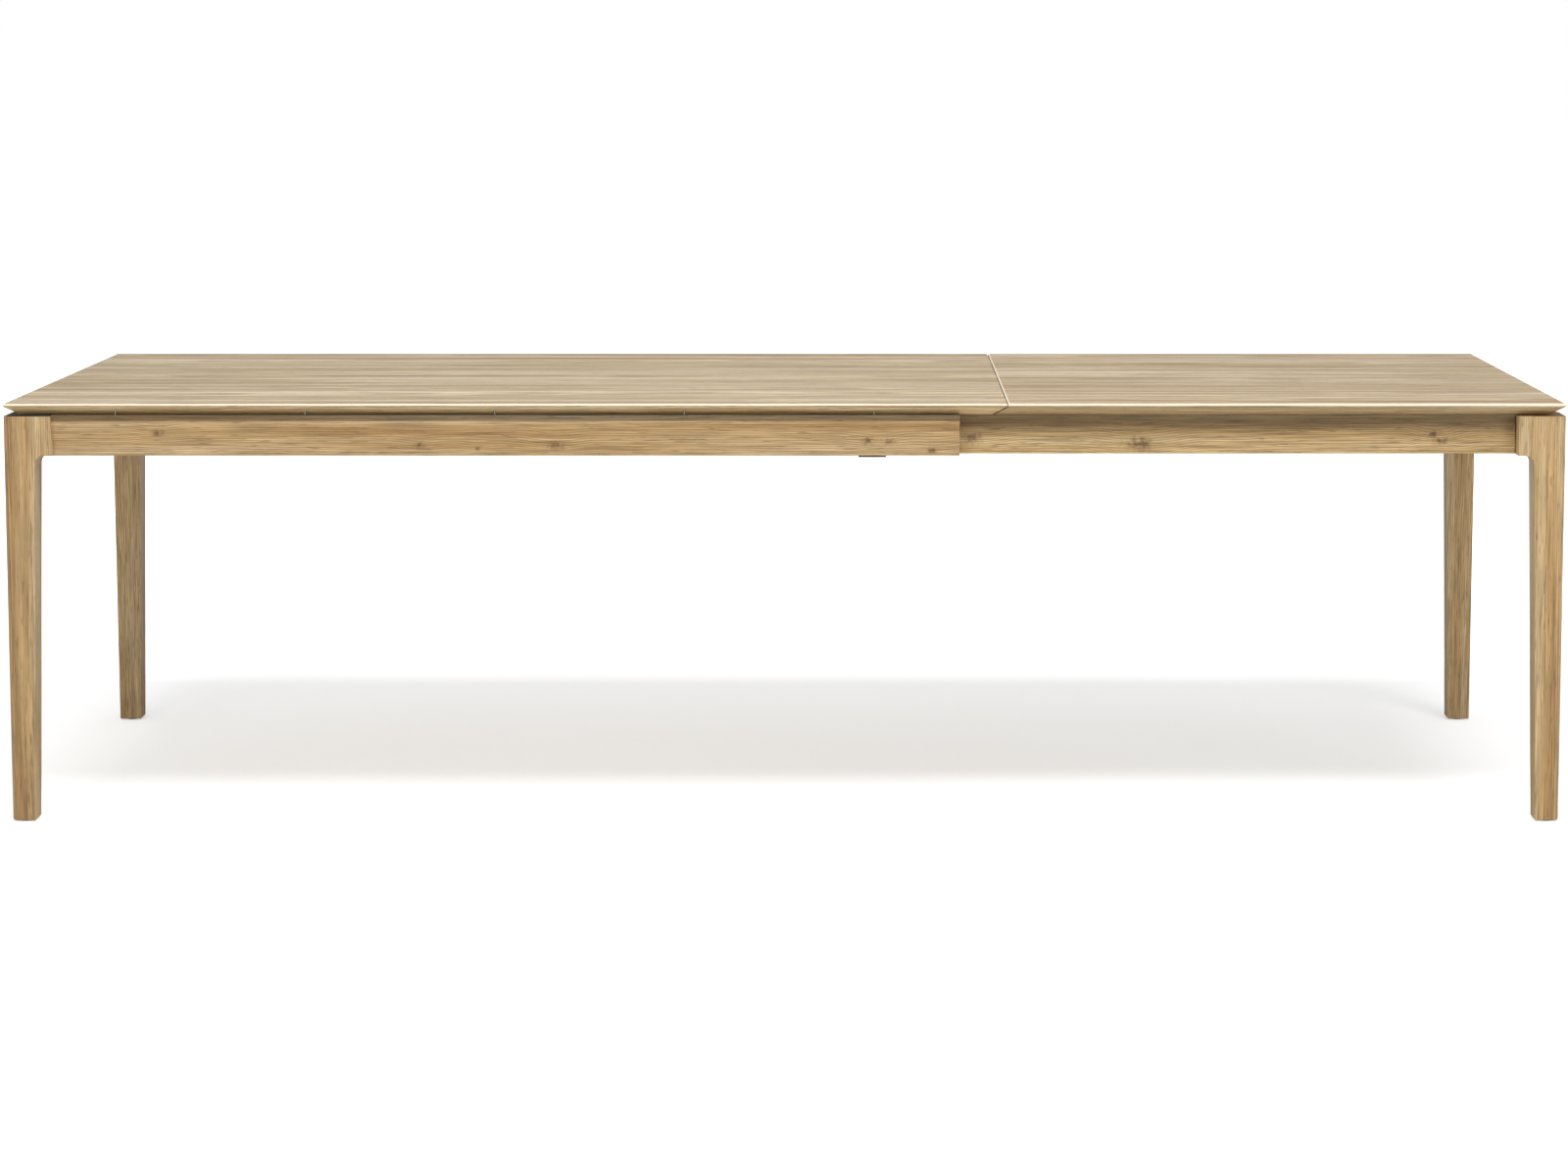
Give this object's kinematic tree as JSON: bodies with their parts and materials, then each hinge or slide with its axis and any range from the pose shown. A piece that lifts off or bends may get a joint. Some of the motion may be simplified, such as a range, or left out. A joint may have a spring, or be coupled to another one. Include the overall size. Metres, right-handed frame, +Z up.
{
  "type": "extendable dining table",
  "caption": "Long oak dining table, shown open: fixed top, telescoping end frame and a lift-off leaf with bevelled edges on rounded tapering legs.",
  "frame": {"origin": "on the floor, under the middle of the open table", "axes": "+X along the table towards the end that pulls out, +Y from the front to the back, +Z up"},
  "size_m": [2.8, 1, 0.76],
  "materials": {
    "oak_panel": "oiled",
    "oak_leg": "oiled",
    "oak_rail": "oiled",
    "beech_block": "planed, unfinished",
    "nylon": "moulded",
    "rubber": "moulded",
    "felt": "pressed felt",
    "aluminium_runner": "extruded, anodised",
    "black_steel": "powder coated",
    "zinc_steel": "zinc plated"
  },
  "bodies": {
    "fixed_frame": {"main_top": "oak_panel", "top_stiffeners": "black_steel", "top_stiffener_screws": "zinc_steel", "end_apron_left": "oak_rail", "top_clips": "zinc_steel", "top_clip_screws": "zinc_steel", "tie_bar": "black_steel", "tie_bar_screws": "zinc_steel", "leg_bolts_left": "zinc_steel", "dowels_left": "beech_block", "leg_plate_screws": "zinc_steel", "apron_screws": "zinc_steel", "runner_screws": "zinc_steel", "runner_stops": "rubber", "leaf_tongue_pivots": "zinc_steel", "leg_front_left": "oak_leg", "foot_glide_front_left": "nylon", "leg_plate_front": "black_steel", "outer_apron_front": "oak_rail", "guide_strip_front": "nylon", "slip_pad_front": "nylon", "runner_front": "aluminium_runner", "leg_back_left": "oak_leg", "foot_glide_back_left": "nylon", "leg_plate_back": "black_steel", "outer_apron_back": "oak_rail", "guide_strip_back": "nylon", "slip_pad_back": "nylon", "runner_back": "aluminium_runner"},
    "end_frame": {"end_apron_right": "oak_rail", "cross_rail_inner": "oak_rail", "cross_rail_middle": "oak_rail", "cross_rail_brackets": "zinc_steel", "cross_rail_screws": "zinc_steel", "dowels_right": "beech_block", "corner_bolts": "zinc_steel", "corner_nuts": "zinc_steel", "runner_shoe_screws": "zinc_steel", "leg_front_right": "oak_leg", "foot_glide_front_right": "nylon", "inner_apron_front": "oak_rail", "corner_block_front": "beech_block", "runner_shoe_front": "nylon", "leg_back_right": "oak_leg", "foot_glide_back_right": "nylon", "inner_apron_back": "oak_rail", "corner_block_back": "beech_block", "runner_shoe_back": "nylon"},
    "leaf": {"extension_leaf": "oak_panel", "leaf_stiffeners": "black_steel", "leaf_stiffener_screws": "zinc_steel", "leaf_buffers": "felt"},
    "leaf_tongue_front": {"leaf_tongue_front": "zinc_steel"},
    "leaf_tongue_back": {"leaf_tongue_back": "zinc_steel"}
  },
  "joints": [
    {"name": "frame_slide", "type": "slide", "parent": "fixed_frame", "child": "end_frame", "axis": [1, 0, 0], "range_m": [-1, 0]},
    {"name": "leaf_seat", "type": "slide", "parent": "fixed_frame", "child": "leaf", "axis": [-0.9063, 0, -0.4226], "range_m": [-0.5, 0]},
    {"name": "tongue_front_swing", "type": "hinge", "parent": "fixed_frame", "child": "leaf_tongue_front", "pos_m": [0.34, -0.3, 0.737], "axis": [0, 0, -1], "range_deg": [-90, 0]},
    {"name": "tongue_back_swing", "type": "hinge", "parent": "fixed_frame", "child": "leaf_tongue_back", "pos_m": [0.34, 0.3, 0.737], "axis": [0, 0, 1], "range_deg": [-90, 0]}
  ]
}
